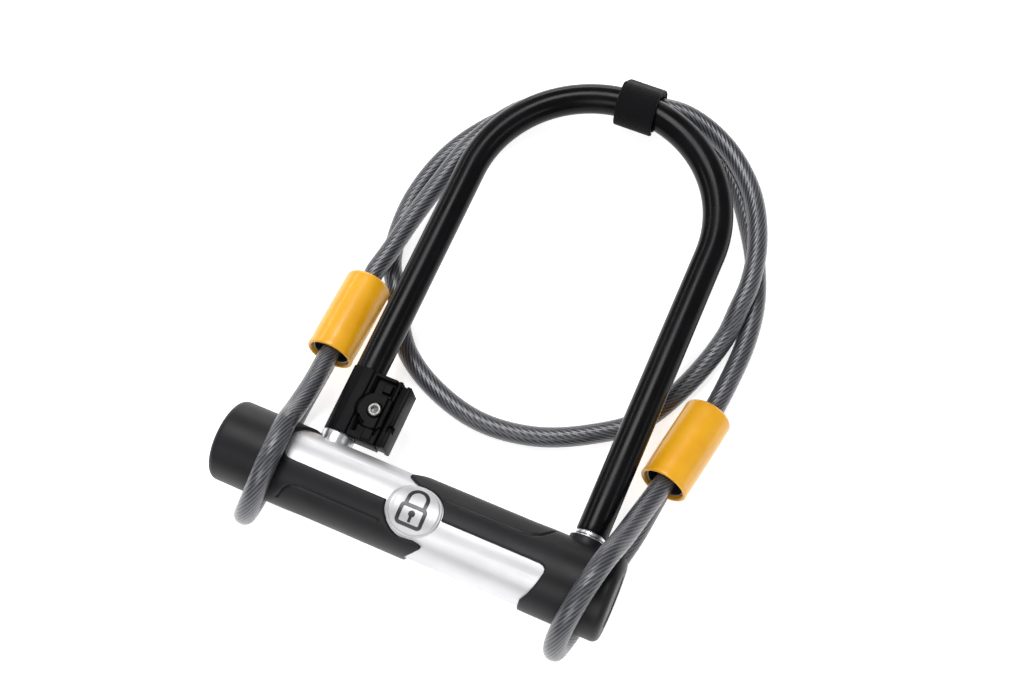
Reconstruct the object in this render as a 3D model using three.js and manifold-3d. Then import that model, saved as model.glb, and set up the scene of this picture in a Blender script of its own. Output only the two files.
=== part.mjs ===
// A U-lock lying flat: shackle, locking crossbar, looped security cable, strap and frame bracket.
//
// Millimetres. +X runs along the crossbar towards its plain end, +Y from the crossbar to the arch
// of the shackle, +Z up. Everything is drawn about the middle of the crossbar's axis between the
// two legs, and the whole group is then moved so that the origin is the middle of the lock's box.
import * as THREE from 'three';
import { mergeVertices } from 'three/addons/utils/BufferGeometryUtils.js';
import Module from 'manifold-3d';

const wasm = await Module();
wasm.setup();

// ---------------------------------------------------------------- driving dimensions
const INNER_WIDTH = 115; // clear space between the coated legs
const ROD_D = 13; // hardened steel shackle
const COATED_D = 15.4; // over the vinyl
const ARCH_Y = 176.8; // centre of the arch, above the crossbar's axis
const CAP_D = 40.6; // end caps
const GRIP_D = 40; // moulded grip panels
const SLEEVE_D = 37.4; // satin sleeve over the steel tube
const BAR_LEFT = -114.7; // keyed end
const BAR_RIGHT = 86.2; // plain end
const BADGE_X = -12; // centre of the badge, which the two grips wrap
const BADGE_D = 26.6;
const CABLE_D = 10;
const FERRULE_D = 24.6;

const GAP = 0.3; // between pieces that touch
const LEG_X = (INNER_WIDTH + COATED_D) / 2;
const ROD_R = ROD_D / 2;
const COATED_R = COATED_D / 2;
const CABLE_R = CABLE_D / 2;
const FLOOR_Z = -31.2; // the crossbar rests on the cable's under strands
const LOW = FLOOR_Z + CABLE_R; // height of cable lying on the floor

// crossbar, as distances from its axis or along it
const SLEEVE_R = SLEEVE_D / 2;
const TUBE_R = SLEEVE_R - 0.9 - GAP;
const TUBE_BORE = TUBE_R - 3.3;
const CORE_R = TUBE_BORE - GAP; // what slides inside the steel tube
const CASE_BORE = SLEEVE_R + GAP; // inside of the caps and grips
const END_WALL = 6; // solid end of each cap
const TUBE_LEFT = BAR_LEFT + END_WALL;
const TUBE_RIGHT = BAR_RIGHT - END_WALL;
const FOOT_TIP = -12; // how deep the shackle's feet reach, along Y
const COLLAR_TOP = 22.4; // top of the steel collars that the feet pass through
const COATING_START = 24.8; // where the vinyl begins on each leg

// locking bar: a round bar with two flats beside each foot
const BAR_R = 4.2;
const BAR_FLAT = 2.1;
const CYLINDER_RIGHT = -78;
const PLUG_RIGHT = -85;
const LOCKING_BAR_LEFT = -84;
const LOCKING_BAR_RIGHT = 76.3;
const PLUG_R = 6.4;
const PIN_X = -96;

// dust cover, a shutter in a T-slot in the keyed end
const COVER_HALF = 5;
const COVER_TRAVEL = 9.3;
const COVER_WIDE = 9.3;
const COVER_NARROW = 7.2;
const KEY_OPENING_R = 4.8;
const COVER_LIP = 1.6;
const COVER_DEEP = 3.3;

// bracket on the left leg
const BRACKET_BOTTOM = 22.8;
const BRACKET_TOP = 57;
const BRACKET_R = 8.9;
const PLATE_RIGHT = -46.2;
const PLATE_Z = 7.2;
const SCREW = { x: -52.6, y: 38.7, r: 2 };
const RAIL_RIGHT = -40.5;

// strap round the arch and both runs of cable
const STRAP_X = 1.3;
const STRAP_WIDTH = 21;
const STRAP_THICK = 2.8;

// ---------------------------------------------------------------- solids
function solidOf(geometry) {
  const bare = geometry.clone();
  bare.deleteAttribute('normal');
  bare.deleteAttribute('uv');
  const merged = mergeVertices(bare, 1e-4);
  const vertProperties = new Float32Array(merged.attributes.position.array);
  const triVerts = new Uint32Array(merged.index.array);
  return new wasm.Manifold(new wasm.Mesh({ numProp: 3, vertProperties, triVerts }));
}

function geometryOf(solid) {
  const mesh = solid.getMesh();
  const geometry = new THREE.BufferGeometry();
  geometry.setAttribute('position', new THREE.BufferAttribute(mesh.vertProperties, 3));
  geometry.setIndex(new THREE.BufferAttribute(mesh.triVerts, 1));
  geometry.computeVertexNormals();
  return geometry;
}

function join(first, ...others) {
  return geometryOf(others.reduce((body, other) => body.add(solidOf(other)), solidOf(first)));
}

function cut(first, ...tools) {
  return geometryOf(tools.reduce((body, tool) => body.subtract(solidOf(tool)), solidOf(first)));
}

function overlapOf(first, second) {
  return geometryOf(solidOf(first).intersect(solidOf(second)));
}

function box(low, high) {
  const size = high.map((top, i) => top - low[i]);
  const middle = high.map((top, i) => (top + low[i]) / 2);
  return new THREE.BoxGeometry(...size).translate(...middle);
}

// A round bar along one axis. across gives its place on the other two axes, in X, Y, Z order.
function bar(axis, radius, from, to, across = [0, 0], sides = 32) {
  const geometry = new THREE.CylinderGeometry(radius, radius, to - from, sides);
  const middle = (from + to) / 2;
  if (axis === 'x') return geometry.rotateZ(Math.PI / 2).translate(middle, across[0], across[1]);
  if (axis === 'y') return geometry.translate(across[0], middle, across[1]);
  return geometry.rotateX(Math.PI / 2).translate(across[0], across[1], middle);
}

// Turns a profile of [along, radius] points round the X axis.
function turned(profile, sides = 48) {
  const area = profile.reduce((sum, [x, r], i) => {
    const [nextX, nextR] = profile[(i + 1) % profile.length];
    return sum + r * nextX - nextR * x;
  }, 0);
  const ordered = area > 0 ? profile : [...profile].reverse();
  const points = ordered.map(([x, r]) => new THREE.Vector2(r, x));
  return new THREE.LatheGeometry(points, sides).rotateZ(-Math.PI / 2);
}

function pipe(inner, outer, from, to, sides = 48) {
  return turned([[from, inner], [to, inner], [to, outer], [from, outer], [from, inner]], sides);
}

// Points of a quarter circle, for the rounded edge of a turned profile.
function roundedEdge(along, radius, size, steps = 4) {
  return Array.from({ length: steps + 1 }, (_, i) => {
    const angle = (i / steps) * (Math.PI / 2);
    return [along - size + size * Math.sin(angle), radius - size + size * Math.cos(angle)];
  });
}

function circleShape(radius, sides, shapeType = THREE.Shape) {
  const points = Array.from({ length: sides }, (_, i) => {
    const angle = (i / sides) * 2 * Math.PI;
    return new THREE.Vector2(radius * Math.cos(angle), radius * Math.sin(angle));
  });
  return new shapeType(points);
}

function tubeAlong(curve, section, steps) {
  return new THREE.ExtrudeGeometry(section, { steps, bevelEnabled: false, extrudePath: curve });
}

// The convex outline round some circles [y, z, radius], each grown by a margin.
function outlineRound(circles, margin, shapeType = THREE.Shape) {
  const points = circles.flatMap(([y, z, radius]) => {
    const ring = circleShape(radius + margin, 24).getPoints();
    return ring.slice(0, 24).map((p) => [p.x + y, p.y + z]);
  });
  points.sort((a, b) => a[0] - b[0] || a[1] - b[1]);
  const turn = (o, a, b) => (a[0] - o[0]) * (b[1] - o[1]) - (a[1] - o[1]) * (b[0] - o[0]);
  const half = (list) => {
    const kept = [];
    for (const point of list) {
      while (kept.length > 1 && turn(kept.at(-2), kept.at(-1), point) <= 0) kept.pop();
      kept.push(point);
    }
    return kept.slice(0, -1);
  };
  const hull = [...half(points), ...half([...points].reverse())];
  return new shapeType(hull.map(([y, z]) => new THREE.Vector2(y, z)));
}

// ---------------------------------------------------------------- materials
function material(color, roughness, metalness) {
  return new THREE.MeshStandardMaterial({ color, roughness, metalness });
}

const MATERIALS = {
  steel: material(0xb9bcc0, 0.35, 1),
  brass: material(0xb99a55, 0.4, 1),
  satin: material(0xdcdde0, 0.38, 1),
  badge: material(0xe8e8ea, 0.3, 0.9),
  grip: material(0x2f2f32, 0.6, 0),
  vinyl: material(0x101012, 0.2, 0),
  bracket: material(0x17181a, 0.5, 0),
  strap: material(0x141414, 0.85, 0),
  cable: material(0x6a6b70, 0.3, 0.2),
  crimp: material(0xc4c5c8, 0.4, 1),
  ferrule: material(0xefa61e, 0.3, 0),
};

const lock = new THREE.Group();

function add(name, geometry, finish) {
  const mesh = new THREE.Mesh(geometry, MATERIALS[finish]);
  mesh.name = name;
  lock.add(mesh);
  return mesh;
}

// ---------------------------------------------------------------- shackle
class ArchCurve extends THREE.Curve {
  getPoint(t, target = new THREE.Vector3()) {
    const angle = Math.PI * (1 - t);
    return target.set(LEG_X * Math.cos(angle), ARCH_Y + LEG_X * Math.sin(angle), 0);
  }
}

// The U of the shackle: two straight legs that run a little way into the half-round arch.
function shackleBar(radius, footY, sides) {
  const overlap = 0.05;
  const legs = [-LEG_X, LEG_X].map((x) => bar('y', radius, footY, ARCH_Y + overlap, [x, 0], sides));
  const arch = tubeAlong(new ArchCurve(), circleShape(radius, sides), 24);
  return join(arch, ...legs);
}

// A foot's keyhole: the locking bar passes the slot with its flats, and turns in the round part.
function keyhole(x) {
  const round = bar('x', BAR_R + 0.4, x - ROD_D, x + ROD_D, [0, 0]);
  const slot = box([x - ROD_D, FOOT_TIP - 5, -BAR_FLAT - 0.4], [x + ROD_D, 0, BAR_FLAT + 0.4]);
  return join(round, slot);
}

function addShackle() {
  const rod = shackleBar(ROD_R, FOOT_TIP, 24);
  add('shackle_rod', cut(rod, keyhole(-LEG_X), keyhole(LEG_X)), 'steel');

  const vinyl = shackleBar(COATED_R, COATING_START, 24);
  add('shackle_coating', cut(vinyl, shackleBar(ROD_R + GAP, 0, 16)), 'vinyl');

  for (const [name, x] of [['left_foot_ring', -LEG_X], ['right_foot_ring', LEG_X]]) {
    const outside = bar('y', COATED_R - 0.1, COLLAR_TOP + GAP, COATING_START - GAP, [x, 0]);
    const bore = bar('y', ROD_R + GAP, 0, ARCH_Y, [x, 0]);
    add(name, cut(outside, bore), 'steel');
  }
}

// ---------------------------------------------------------------- crossbar
function legHole(radius, x) {
  return bar('y', radius, 0, CAP_D, [x, 0]);
}

// One moulding: a cup over the bar's end, and a half-round grip that reaches past the badge. It is
// drawn from the badge towards +X, with the grip on the +Y side.
function gripCap(end, extras, cuts) {
  const capStart = 66;
  const gripTip = -7;
  const gripBack = 2;
  const overlap = 1;
  const wall = end - END_WALL + GAP;
  const cup = turned([
    [wall, 0], [wall, CASE_BORE], [capStart, CASE_BORE], [capStart, CAP_D / 2],
    ...roundedEdge(end, CAP_D / 2, 3.5), [end, 0],
  ]);
  const ring = pipe(CASE_BORE, GRIP_D / 2, gripTip, capStart + overlap);
  const half = box([gripTip - 1, 0.15, -CAP_D], [capStart + 2, CAP_D, CAP_D]);
  const round = bar('z', BADGE_D / 2 + 0.5, 0, CAP_D, [0, 0], 40);
  const behind = box([gripTip - 1, -CAP_D, -CAP_D], [gripBack, CAP_D, 0]);
  const grip = cut(overlapOf(ring, half), round, behind);
  const inside = bar('x', CASE_BORE, -CAP_D, wall, [0, 0], 48);
  const whole = extras.length ? cut(join(cup, grip, ...extras), inside) : join(cup, grip);
  return cut(whole, ...cuts);
}

function rightGripCap() {
  const legX = LEG_X - BADGE_X;
  const boss = bar('y', 9.5, 10, COLLAR_TOP - 0.6, [legX, 0]);
  const hole = bar('y', 8.6, 10, CAP_D, [legX, 0]);
  return gripCap(BAR_RIGHT - BADGE_X, [boss], [hole]).translate(BADGE_X, 0, 0);
}

function leftGripCap() {
  const end = BADGE_X - BAR_LEFT;
  const low = -COVER_HALF - GAP;
  const high = COVER_HALF + COVER_TRAVEL + GAP;
  const narrow = COVER_NARROW + GAP;
  const wide = COVER_WIDE + GAP;
  const mouth = box([end - COVER_LIP, -narrow, low], [end + 1, narrow, high]);
  const groove = box([end - COVER_DEEP, -wide, low], [end - COVER_LIP + 0.01, wide, high]);
  const keyOpening = bar('x', KEY_OPENING_R, end - 10, end - COVER_DEEP + 0.01);
  const cap = gripCap(end, [], [join(mouth, groove), keyOpening]);
  return cap.rotateZ(Math.PI).translate(BADGE_X, 0, 0);
}

// A steel collar that sits on the sleeve like a saddle, round each foot.
function legCollar(x) {
  const outside = bar('y', 8.25, 10, COLLAR_TOP, [x, 0]);
  const saddle = bar('x', SLEEVE_R + GAP, x - CAP_D, x + CAP_D, [0, 0], 48);
  return cut(outside, saddle, bar('y', ROD_R + 0.4, 0, CAP_D, [x, 0]));
}

function addCrossbar() {
  const feet = [-LEG_X, LEG_X];
  const tube = pipe(TUBE_BORE, TUBE_R, TUBE_LEFT, TUBE_RIGHT);
  const pinHole = bar('z', 1.8, 0, CAP_D, [PIN_X, 0], 16);
  add('crossbar_tube', cut(tube, pinHole, ...feet.map((x) => legHole(7.1, x))), 'steel');
  const sleeve = pipe(TUBE_R + GAP, SLEEVE_R, TUBE_LEFT, TUBE_RIGHT);
  add('crossbar_sleeve', cut(sleeve, ...feet.map((x) => legHole(7.3, x))), 'satin');
  add('left_grip_cap', leftGripCap(), 'grip');
  add('right_grip_cap', rightGripCap(), 'grip');

  const badgeRing = pipe(CASE_BORE, GRIP_D / 2 - 0.4, BADGE_X - BADGE_D, BADGE_X + BADGE_D, 96);
  const disc = bar('z', BADGE_D / 2, 0, CAP_D, [BADGE_X, 0], 40);
  add('badge_plate', overlapOf(badgeRing, disc), 'badge');

  add('left_leg_collar', legCollar(-LEG_X), 'steel');
  add('right_leg_collar', legCollar(LEG_X), 'steel');

  for (const [name, x] of [['left_bar_guide', -50], ['right_bar_guide', 40]]) {
    add(name, pipe(BAR_R + GAP, CORE_R, x, x + 10), 'steel');
  }
  const block = bar('x', CORE_R, 73, TUBE_RIGHT - GAP, [0, 0], 48);
  const socket = bar('x', BAR_R + GAP, 72, LOCKING_BAR_RIGHT + GAP);
  add('end_block', cut(block, socket), 'steel');
}

// ---------------------------------------------------------------- lock core
function addCore() {
  const body = pipe(PLUG_R + 0.2, CORE_R, TUBE_LEFT, CYLINDER_RIGHT);
  const pinTop = TUBE_R - 0.2;
  const pinBottom = 9.3;
  const pocket = bar('z', 1.8, pinBottom - GAP, CAP_D, [PIN_X, 0], 16);
  add('lock_cylinder', cut(body, pocket), 'brass');
  add('cylinder_pin', bar('z', 1.5, pinBottom, pinTop, [PIN_X, 0], 16), 'steel');

  const tailHalf = 0.9;
  const tailWide = 3.4;
  const keyway = box([TUBE_LEFT - 2, -1.1, -3.8], [-92, 1.1, 3.8]);
  const plugSlot = box([PLUG_RIGHT - 4.3, -tailWide - GAP, -tailHalf - GAP],
    [PLUG_RIGHT + 1, tailWide + GAP, tailHalf + GAP]);
  add('key_plug', cut(bar('x', PLUG_R, TUBE_LEFT, PLUG_RIGHT), keyway, plugSlot), 'brass');
  const tailLow = [PLUG_RIGHT - 4, -tailWide, -tailHalf];
  const tailHigh = [LOCKING_BAR_LEFT + 4, tailWide, tailHalf];
  add('tailpiece', box(tailLow, tailHigh), 'steel');

  const round = bar('x', BAR_R, LOCKING_BAR_LEFT, LOCKING_BAR_RIGHT);
  const endSlot = box([LOCKING_BAR_LEFT - 1, -BAR_R - 1, -tailHalf - GAP],
    [LOCKING_BAR_LEFT + 4.3, BAR_R + 1, tailHalf + GAP]);
  const reach = ROD_R + 2;
  const flats = [-LEG_X, LEG_X].flatMap((x) => [
    box([x - reach, -BAR_R - 1, BAR_FLAT], [x + reach, BAR_R + 1, BAR_R + 1]),
    box([x - reach, -BAR_R - 1, -BAR_R - 1], [x + reach, BAR_R + 1, -BAR_FLAT]),
  ]);
  add('locking_bar', cut(round, endSlot, ...flats), 'steel');
}

function addDustCover() {
  const face = BAR_LEFT + 0.8;
  const shoulder = BAR_LEFT + COVER_LIP + GAP;
  const back = BAR_LEFT + COVER_DEEP - GAP;
  const front = box([face, -COVER_NARROW, -COVER_HALF], [shoulder + 0.5, COVER_NARROW, COVER_HALF]);
  const base = box([shoulder, -COVER_WIDE, -COVER_HALF], [back, COVER_WIDE, COVER_HALF]);
  const ridge = box([BAR_LEFT + 0.2, -5, 2.5], [face + 0.5, 5, 4]);
  add('dust_cover', join(front, base, ridge), 'grip');
}

// ---------------------------------------------------------------- bracket
function bracketHalf(side) {
  const low = side > 0 ? GAP / 2 : -CAP_D;
  const high = side > 0 ? CAP_D : -GAP / 2;
  const halfSpace = box([-CAP_D * 3, 0, low], [0, ARCH_Y, high]);
  const collar = bar('y', BRACKET_R, BRACKET_BOTTOM, BRACKET_TOP, [-LEG_X, 0], 40);
  const plate = box([-LEG_X, BRACKET_BOTTOM, -PLATE_Z], [PLATE_RIGHT, BRACKET_TOP, PLATE_Z]);
  const boss = bar('z', 6, -8.6, 8.6, [SCREW.x, SCREW.y]);
  const bore = bar('y', COATED_R + GAP, 0, ARCH_Y, [-LEG_X, 0], 40);
  const screwHole = bar('z', SCREW.r + GAP, -CAP_D, CAP_D, [SCREW.x, SCREW.y], 20);
  const seat = side > 0
    ? bar('z', 3.7, 6.7, CAP_D, [SCREW.x, SCREW.y], 24)
    : bar('z', 4.5, -CAP_D, -5, [SCREW.x, SCREW.y], 6);
  return cut(overlapOf(join(collar, plate, boss), halfSpace), bore, screwHole, seat);
}

function addBracket() {
  add('bracket_upper', bracketHalf(1), 'bracket');
  add('bracket_lower', bracketHalf(-1), 'bracket');

  const across = [SCREW.x, SCREW.y];
  const head = bar('z', 3.3, 7, 9.6, across, 24);
  const shank = bar('z', SCREW.r, -7.8, 7.5, across, 20);
  const socket = bar('z', 1.7, 8, 11, across, 6);
  add('bracket_screw', cut(join(head, shank), socket), 'steel');
  const nut = bar('z', 4.1, -8.2, -5.3, across, 6);
  add('bracket_nut', cut(nut, bar('z', SCREW.r + GAP, -CAP_D, 0, across, 20)), 'steel');

  const webLeft = PLATE_RIGHT + GAP;
  const flangeLeft = RAIL_RIGHT - 2.4;
  const railBottom = BRACKET_BOTTOM + 0.6;
  const railTop = BRACKET_TOP - 1.5;
  const web = box([webLeft, railBottom, -5], [flangeLeft + 0.5, railTop, 5]);
  const flange = box([flangeLeft, railBottom, -8], [RAIL_RIGHT, railTop, 8]);
  const notch = box([flangeLeft - 1, 32, 3.5], [RAIL_RIGHT + 1, 35, 9]);
  add('bracket_rail', cut(join(web, flange), notch), 'bracket');
}

// ---------------------------------------------------------------- cable
// Each ferrule holds the cable's two strands one above the other, turned about its axis by a
// few degrees so that the upper one leans to the right. Its bottom end faces the
// crossbar and is lifted by the eye, and its top end lies low, the left one over the loop's edge.
const FERRULES = {
  left: { bottom: [-91.5, 59.9, -9.8], top: [-92, 105.2, -16.8], turn: 15 },
  right: { bottom: [86.3, 61.7, -10], top: [93.6, 106.2, -18.6], turn: 0 },
};
const STRAND = 5.2; // each strand's distance from the ferrule's axis
const LEAD = 5; // cable runs straight out of a ferrule for this far

function ferruleFrame(side) {
  const bottom = new THREE.Vector3(...FERRULES[side].bottom);
  const top = new THREE.Vector3(...FERRULES[side].top);
  const along = top.clone().sub(bottom).normalize();
  const up = new THREE.Vector3(0, 0, 1).addScaledVector(along, -along.z).normalize();
  up.applyAxisAngle(along, THREE.MathUtils.degToRad(FERRULES[side].turn));
  return { bottom, top, along, up, length: top.distanceTo(bottom) };
}

// Where a strand leaves a ferrule, and the point a lead further on.
function strandEnds(side, end, level) {
  const frame = ferruleFrame(side);
  const away = frame.along.clone().multiplyScalar(end === 'top' ? 1 : -1);
  const mouth = frame[end].clone().addScaledVector(frame.up, level === 'upper' ? STRAND : -STRAND);
  mouth.addScaledVector(away, GAP + 0.1);
  return [mouth, mouth.clone().addScaledVector(away, LEAD)];
}

const MAIN_ROUTE = [
  [-88.9, 122.4, -13], [-86.3, 144.8, -14.4], [-82, 170, -15.2], [-75, 198, -14.4],
  [-58, 225.4, -13], [-30, 242.6, -12.2], [2, 250.8, -11.4], [24, 253.6, -12],
  [48.9, 245.3, -14.4], [71, 225.4, -15.8], [83.3, 200.7, -15.8], [87.8, 178, -16.4],
  [87.4, 163, -18.6], [86.2, 148, -23.4], [78, 120.5, LOW], [63.5, 92.4, LOW],
  [43.7, 76.8, LOW], [18.1, 64.7, LOW], [-10, 61.1, LOW], [-36.7, 67.3, LOW],
  [-59.2, 80, LOW], [-71.8, 95.3, LOW], [-79.7, 108.6, LOW], [-89.2, 123, LOW],
  [-93.9, 142, LOW], [-94.3, 166, LOW], [-86.7, 195.2, LOW], [-67.5, 223.6, -25.8],
  [-38, 243.8, -23.4], [3, 254.8, -21.8], [35.3, 250.6, -24.6], [58.8, 234, LOW],
  [76.3, 210.4, LOW], [87.7, 189.3, LOW], [94, 170.6, LOW], [96.6, 149, LOW],
  [95.8, 126, -25.4],
];

const LEFT_EYE_ROUTE = [
  [-87.9, 40, 4], [-86.4, 24, 13.4], [-84.4, 13, 23.2], [-83, 0, 26.6],
  [-83.1, -10.8, 24.8], [-84.5, -20.6, 18], [-87.2, -27.6, 8.5], [-90.3, -29.9, -1],
  [-93.1, -27.7, -11.5], [-95.4, -20.4, -20.6], [-97, -9, -25.6], [-97.7, 4, LOW - 0.1],
  [-98.1, 18, LOW], [-97, 34, -23.4],
];

const RIGHT_EYE_ROUTE = [
  [82.6, 41, 4.4], [80.1, 26, 14.2], [77.4, 13.5, 23], [75, 1, 26.6],
  [72.9, -10.4, 24.8], [71, -21, 18.4], [70, -28, 9], [69.9, -30.3, -1],
  [70.2, -27, -12], [71.4, -18.5, -21.4], [73.5, -6, LOW + 0.2], [76, 8, LOW - 0.1],
  [78.8, 22, LOW], [82, 36, -23.4],
];

function cableTube(points, steps) {
  const curve = new THREE.CatmullRomCurve3(points, false, 'centripetal');
  return tubeAlong(curve, circleShape(CABLE_R, 10), steps);
}

function vectors(list) {
  return list.map((point) => new THREE.Vector3(...point));
}

function addCable() {
  const start = strandEnds('left', 'top', 'upper');
  const end = strandEnds('right', 'top', 'lower').reverse();
  add('cable_main', cableTube([...start, ...vectors(MAIN_ROUTE), ...end], 44), 'cable');
  for (const [side, route] of [['left', LEFT_EYE_ROUTE], ['right', RIGHT_EYE_ROUTE]]) {
    const from = strandEnds(side, 'bottom', 'upper');
    const to = strandEnds(side, 'bottom', 'lower').reverse();
    add(`cable_eye_${side}`, cableTube([...from, ...vectors(route), ...to], 21), 'cable');
  }
}

function addFerrule(side) {
  const frame = ferruleFrame(side);
  const radius = FERRULE_D / 2;
  const wall = 1.6;
  const recess = 1.8;
  const cover = turned([
    [0, radius - wall], [0, radius], ...roundedEdge(frame.length, radius, 1.4, 3),
    [frame.length, radius - wall], [0, radius - wall],
  ], 32);
  const crimp = bar('x', radius - wall - GAP, recess, frame.length - recess, [0, 0], 32);
  const side90 = new THREE.Vector3().crossVectors(frame.up, frame.along);
  const place = new THREE.Matrix4().makeBasis(frame.along, side90, frame.up).setPosition(frame.bottom);
  add(`ferrule_cover_${side}`, cover.applyMatrix4(place), 'ferrule');
  add(`crimp_sleeve_${side}`, crimp.applyMatrix4(place), 'crimp');
}

// ---------------------------------------------------------------- strap
function addStrap() {
  const low = STRAP_X - STRAP_WIDTH / 2;
  const high = STRAP_X + STRAP_WIDTH / 2;
  const rodAt = (x) => [ARCH_Y + Math.sqrt(LEG_X ** 2 - x ** 2), 0, COATED_R];
  const upperRun = [[248.3, -11.7], [253, -11.6]];
  const lowerRun = [[252.2, -22.1], [255.4, -22.4]];
  const runs = [...upperRun, ...lowerRun].map(([y, z]) => [y, z, CABLE_R]);
  const circles = [rodAt(low), rodAt(STRAP_X), rodAt(high), ...runs];
  const band = outlineRound(circles, 0.6 + STRAP_THICK);
  band.holes.push(outlineRound(circles, 0.6, THREE.Path));
  const strap = new THREE.ExtrudeGeometry(band, { depth: STRAP_WIDTH, bevelEnabled: false });
  // the section's x and y become the object's Y and Z, and its depth runs along X
  const turn = new THREE.Matrix4().set(0, 0, 1, low, 1, 0, 0, 0, 0, 1, 0, 0, 0, 0, 0, 1);
  add('cable_strap', strap.applyMatrix4(turn), 'strap');
}

// ---------------------------------------------------------------- assembly
addCrossbar();
addCore();
addDustCover();
addShackle();
addBracket();
addStrap();
addCable();
addFerrule('left');
addFerrule('right');

// The origin is the middle of the box round everything but the free cable and its ferrules.
const onCable = /^(cable_main|cable_eye|ferrule_cover|crimp_sleeve)/;
const bounds = new THREE.Box3();
for (const mesh of lock.children) {
  if (!onCable.test(mesh.name)) bounds.expandByObject(mesh);
}
lock.position.copy(bounds.getCenter(new THREE.Vector3())).negate();

export default lock;
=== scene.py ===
from math import asin, cos, pi, radians, sin, sqrt

import bmesh
import bpy
import numpy as np
from mathutils import Matrix, Vector
from numpy.linalg import norm


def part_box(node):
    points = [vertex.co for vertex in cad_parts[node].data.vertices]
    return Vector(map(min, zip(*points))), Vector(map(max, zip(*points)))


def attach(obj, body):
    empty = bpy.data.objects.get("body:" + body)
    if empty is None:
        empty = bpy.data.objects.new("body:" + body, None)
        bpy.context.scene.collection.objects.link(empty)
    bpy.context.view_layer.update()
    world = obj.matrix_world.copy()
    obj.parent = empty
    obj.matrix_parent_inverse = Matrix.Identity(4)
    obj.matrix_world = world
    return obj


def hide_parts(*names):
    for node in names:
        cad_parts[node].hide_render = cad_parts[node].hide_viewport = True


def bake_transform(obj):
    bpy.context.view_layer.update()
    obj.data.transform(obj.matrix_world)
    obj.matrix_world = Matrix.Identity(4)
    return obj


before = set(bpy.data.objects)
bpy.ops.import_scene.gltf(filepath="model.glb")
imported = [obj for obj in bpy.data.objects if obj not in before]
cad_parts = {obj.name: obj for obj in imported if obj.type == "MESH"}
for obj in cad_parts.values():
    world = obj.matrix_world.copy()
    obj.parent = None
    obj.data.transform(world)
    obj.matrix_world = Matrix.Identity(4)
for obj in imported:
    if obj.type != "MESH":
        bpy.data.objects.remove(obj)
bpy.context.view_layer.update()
MM = 0.001

# ---- sizes from the frame


def middle(node):
    low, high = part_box(node)
    return (Vector(low) + Vector(high)) / 2


ORIGIN = Vector((middle("shackle_rod").x, middle("crossbar_tube").y, middle("crossbar_tube").z))


def at(x, y, z):
    return ORIGIN + Vector((x, y, z)) * MM


def low_of(node):
    return (Vector(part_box(node)[0]) - ORIGIN) / MM


def high_of(node):
    return (Vector(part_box(node)[1]) - ORIGIN) / MM


def middle_of(node):
    return (low_of(node) + high_of(node)) / 2


BAR_LEFT = low_of("left_grip_cap").x
BAR_RIGHT = high_of("right_grip_cap").x
CAP_R = high_of("left_grip_cap").z
SLEEVE_R = high_of("crossbar_sleeve").z
GRIP_R = CAP_R - 0.3
COATED_R = high_of("shackle_coating").z
ROD_R = high_of("shackle_rod").z
LEG_X = high_of("shackle_rod").x - ROD_R
SIDES = (("left", -LEG_X), ("right", LEG_X))
ARCH_Y = high_of("shackle_rod").y - ROD_R - LEG_X
COATING_START = low_of("shackle_coating").y
FLOOR_Z = low_of("cable_main").z
BADGE_X = middle_of("badge_plate").x
BADGE_R = (high_of("badge_plate").x - low_of("badge_plate").x) / 2
COLLAR_R = (high_of("left_leg_collar").x - low_of("left_leg_collar").x) / 2
COLLAR_TOP = high_of("left_leg_collar").y
FOOT_TIP = low_of("shackle_rod").y
CABLE_R = 5.0
FERRULE_R = 12.3


# ---- mesh helpers


def to_metres(points):
    return np.asarray(points, float) * MM + np.array(ORIGIN)


def add_object(name, data):
    obj = bpy.data.objects.new(name, data)
    bpy.context.collection.objects.link(obj)
    return obj


def add_piece(name, points, faces, body, material, node=None, uvs=None, smooth=True, tidy=True,
              sharp=None, slot=None):
    """A mesh from points in millimetres, in place of a CAD node. uvs, when given, holds one pair
    for each point. Edges of more than sharp degrees stay sharp. The slot is not used."""
    mesh = bpy.data.meshes.new(name)
    mesh.from_pydata(to_metres(points).tolist(), [], [list(map(int, face)) for face in faces])
    mesh.validate()
    mesh.polygons.foreach_set("use_smooth", [smooth] * len(mesh.polygons))
    if uvs is not None:
        layer = mesh.uv_layers.new(name="UVMap")
        corner = np.empty(len(mesh.loops), dtype=np.int32)
        mesh.loops.foreach_get("vertex_index", corner)
        layer.data.foreach_set("uv", np.asarray(uvs, float)[corner].ravel())
    obj = add_object(name, mesh)
    mesh.materials.append(material)
    if body:
        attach(obj, body)
    slot or material.name.split(".")[0]
    if node:
        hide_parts(node)
    if tidy:
        tidy_mesh(obj)
    if sharp:
        mesh.set_sharp_from_angle(angle=radians(sharp))
    return obj


def tidy_mesh(obj, merge=0.002):
    """Merges points that lie within merge millimetres and turns the faces outward."""
    work = bmesh.new()
    work.from_mesh(obj.data)
    bmesh.ops.remove_doubles(work, verts=work.verts, dist=merge * MM)
    bmesh.ops.recalc_face_normals(work, faces=work.faces)
    work.to_mesh(obj.data)
    work.free()


def circle(count):
    """Even angles round a full turn."""
    return np.linspace(0, 2 * pi, count, endpoint=False)


def ring_faces(rings, sides, closed=False):
    faces = []
    for i in range(rings if closed else rings - 1):
        here, there = i * sides, ((i + 1) % rings) * sides
        for k in range(sides):
            following = (k + 1) % sides
            faces.append((here + k, here + following, there + following, there + k))
    return faces


def turned(profile, sides):
    """Points and faces of a profile of (along, radius) pairs turned round the X axis."""
    points = [(along, radius * cos(a), radius * sin(a))
              for along, radius in profile for a in circle(sides)]
    return np.array(points), ring_faces(len(profile), sides)


def arc(centre, radius, start, end, steps):
    """Points of an arc in a profile, its angles in degrees from the +along direction."""
    angles = np.radians(np.linspace(start, end, steps))
    return [(centre[0] + radius * cos(a), centre[1] + radius * sin(a)) for a in angles]


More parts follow.
